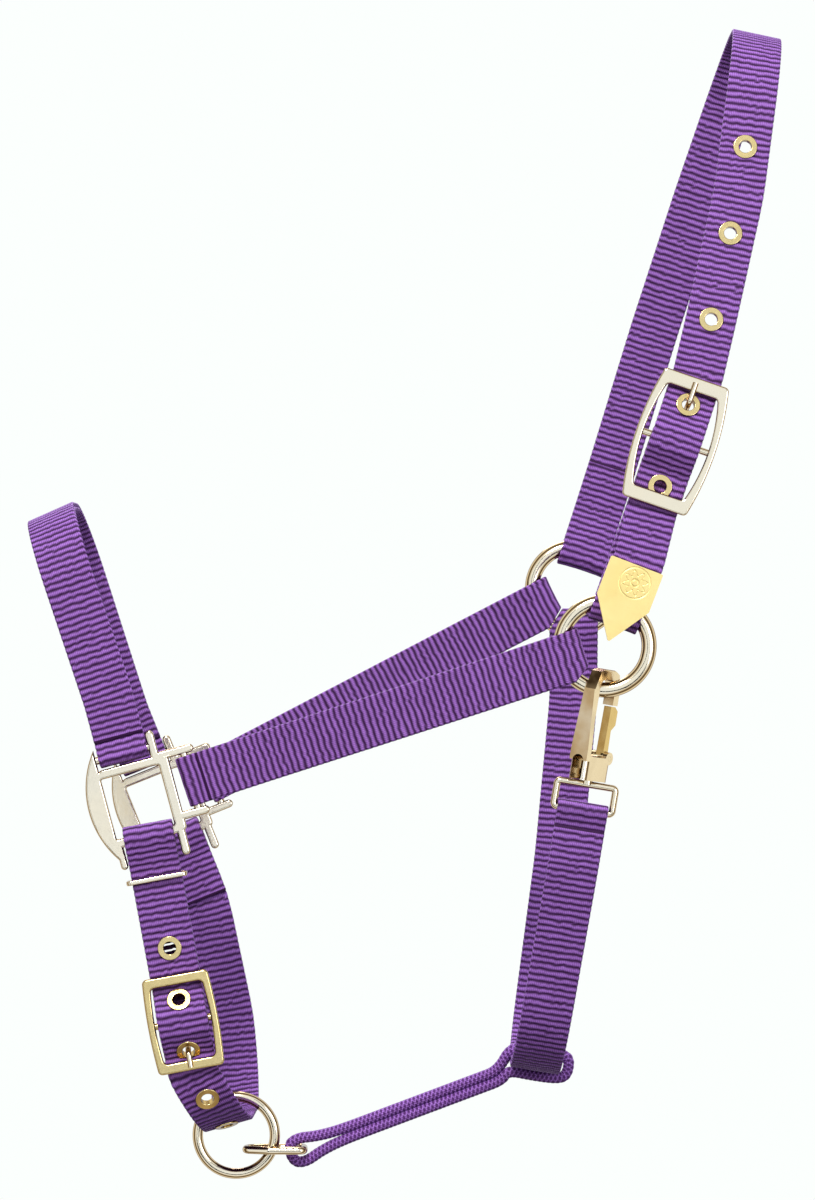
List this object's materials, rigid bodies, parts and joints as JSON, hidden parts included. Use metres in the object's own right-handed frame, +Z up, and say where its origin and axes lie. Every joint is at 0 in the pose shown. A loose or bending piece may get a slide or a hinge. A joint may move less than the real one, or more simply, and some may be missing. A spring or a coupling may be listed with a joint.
{
  "type": "head halter",
  "caption": "Webbing head halter with an adjustable buckled crown and chin strap, a throat strap with a trigger snap, cast squares and rings, and a corded connector to the lead ring.",
  "frame": {"origin": "underside of the crown strap where it lies over the poll", "axes": "+X towards the back of the head, +Z up, -Y towards the near side, where the buckles and the snap are"},
  "size_m": [0.3847, 0.1598, 0.5891],
  "materials": {
    "webbing": "woven, ribbed across the width",
    "cord": "braided, matte",
    "square_metal": "polished, pale",
    "ring_metal": "polished, pale",
    "eyelet_metal": "polished, rolled",
    "tip_metal": "satin, pale gold",
    "buckle_metal": "polished, pale",
    "snap_metal": "polished, pale",
    "spring_steel": "bright wire"
  },
  "bodies": {
    "halter": {"near_square": "square_metal", "off_square": "square_metal", "noseband_strap": "webbing", "near_cheek_strap": "webbing", "off_cheek_strap": "webbing", "crown_strap": "webbing", "crown_eyelets": "eyelet_metal", "crown_tip": "tip_metal", "near_crown_strap": "webbing", "crown_buckle_frame": "buckle_metal", "throat_strap": "webbing", "snap_eye": "snap_metal", "chin_strap": "webbing", "chin_eyelets": "eyelet_metal", "chin_buckle_frame": "buckle_metal", "connector_clip": "ring_metal", "throat_connector": "cord"},
    "near_ring": {"near_cheek_ring": "ring_metal"},
    "off_ring": {"off_cheek_ring": "ring_metal"},
    "lead_ring": {"chin_ring": "ring_metal"},
    "snap": {"snap_body": "snap_metal", "snap_gate_pin": "snap_metal", "snap_gate_spring": "spring_steel"},
    "gate": {"snap_gate": "snap_metal"},
    "crown_tongue": {"crown_buckle_tongue": "buckle_metal"},
    "chin_tongue": {"chin_buckle_tongue": "buckle_metal"},
    "keeper": {"chin_keeper": "ring_metal"}
  },
  "joints": [
    {"name": "near_ring_spin", "type": "hinge", "parent": "halter", "child": "near_ring", "pos_m": [-0.079, -0.07, -0.3093], "axis": [0, 1, 0], "continuous": true},
    {"name": "off_ring_spin", "type": "hinge", "parent": "halter", "child": "off_ring", "pos_m": [-0.0893, 0.07, -0.2804], "axis": [0, 1, 0], "continuous": true},
    {"name": "lead_ring_spin", "type": "hinge", "parent": "halter", "child": "lead_ring", "pos_m": [-0.26518, 0, -0.56131], "axis": [0, 1, 0], "continuous": true},
    {"name": "snap_swivel", "type": "hinge", "parent": "halter", "child": "snap", "pos_m": [-0.08015, -0.07, -0.33127], "axis": [0.165, 0, 0.9863], "range_deg": [0, 70]},
    {"name": "snap_gate_open", "type": "hinge", "parent": "snap", "child": "gate", "pos_m": [-0.08059, -0.06263, -0.36516], "axis": [0.8079, -0.5736, -0.1352], "range_deg": [0, 20], "stiffness_Nm_per_rad": 0.02, "springref_deg": -17.19},
    {"name": "crown_tongue_lift", "type": "hinge", "parent": "halter", "child": "crown_tongue", "pos_m": [-0.04434, -0.0759, -0.20807], "axis": [0.9461, 0, -0.3239], "range_deg": [0, 3]},
    {"name": "chin_tongue_lift", "type": "hinge", "parent": "halter", "child": "chin_tongue", "pos_m": [-0.28959, -0.0549, -0.4979], "axis": [-0.9833, 0, -0.1822], "range_deg": [0, 3]},
    {"name": "keeper_slide", "type": "slide", "parent": "halter", "child": "keeper", "axis": [0.1822, 0, -0.9833], "range_m": [-0.002, 0.022]}
  ]
}
